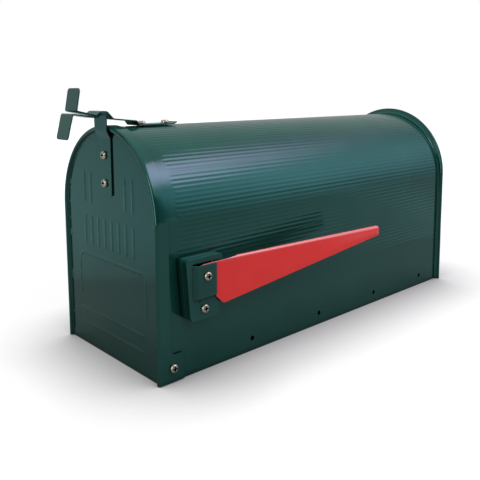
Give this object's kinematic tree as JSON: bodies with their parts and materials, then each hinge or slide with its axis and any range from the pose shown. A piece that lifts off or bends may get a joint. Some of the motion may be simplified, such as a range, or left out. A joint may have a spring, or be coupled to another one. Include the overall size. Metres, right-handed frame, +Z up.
{
  "type": "mailbox",
  "caption": "Rural tunnel mailbox of painted sheet steel with a ribbed arched shell, a drop-down front door with a spring catch, and a side signal flag.",
  "frame": {"origin": "middle of the floor panel's underside, where the mounting board is screwed on", "axes": "+X towards the wall with the signal flag, +Y from the door towards the rear cap, +Z up"},
  "size_m": [0.2041, 0.4931, 0.2533],
  "materials": {
    "green_paint": "glossy dark green enamel on steel sheet",
    "red_paint": "glossy red enamel on steel sheet",
    "zinc": "bright zinc plating"
  },
  "bodies": {
    "box": {"shell": "green_paint", "floor_panel": "green_paint", "rear_cap": "green_paint", "catch_foot": "green_paint", "flag_bracket_base": "green_paint", "flag_bracket_plate": "green_paint", "hinge_screw_left": "zinc", "hinge_spacer_left": "zinc", "hinge_nut_left": "zinc", "hinge_screw_right": "zinc", "hinge_spacer_right": "zinc", "hinge_nut_right": "zinc", "catch_screw_front": "zinc", "catch_nut_front": "zinc", "catch_screw_rear": "zinc", "catch_nut_rear": "zinc", "flag_pivot_screw": "zinc", "flag_pivot_washer": "zinc", "flag_pivot_nut": "zinc", "bracket_screw": "zinc", "bracket_washer": "zinc", "bracket_nut": "zinc", "flag_friction_washer": "zinc"},
    "door": {"door": "green_paint", "door_strap": "green_paint", "strap_screw_lower": "zinc", "strap_nut_lower": "zinc", "strap_screw_upper": "zinc", "strap_nut_upper": "zinc"},
    "flag": {"flag": "red_paint"},
    "catch": {"catch_arm": "green_paint"}
  },
  "joints": [
    {"name": "door_hinge", "type": "hinge", "parent": "box", "child": "door", "pos_m": [0, -0.24515, -0.0089], "axis": [1, 0, 0], "range_deg": [0, 90]},
    {"name": "flag_pivot", "type": "hinge", "parent": "box", "child": "flag", "pos_m": [0.0945, -0.21945, 0.0714], "axis": [1, 0, 0], "range_deg": [0, 90]},
    {"name": "catch_flex", "type": "hinge", "parent": "box", "child": "catch", "pos_m": [0, -0.22725, 0.1973], "axis": [-1, 0, 0], "range_deg": [0, 8], "stiffness_Nm_per_rad": 0.3, "springref_deg": -2.86}
  ]
}
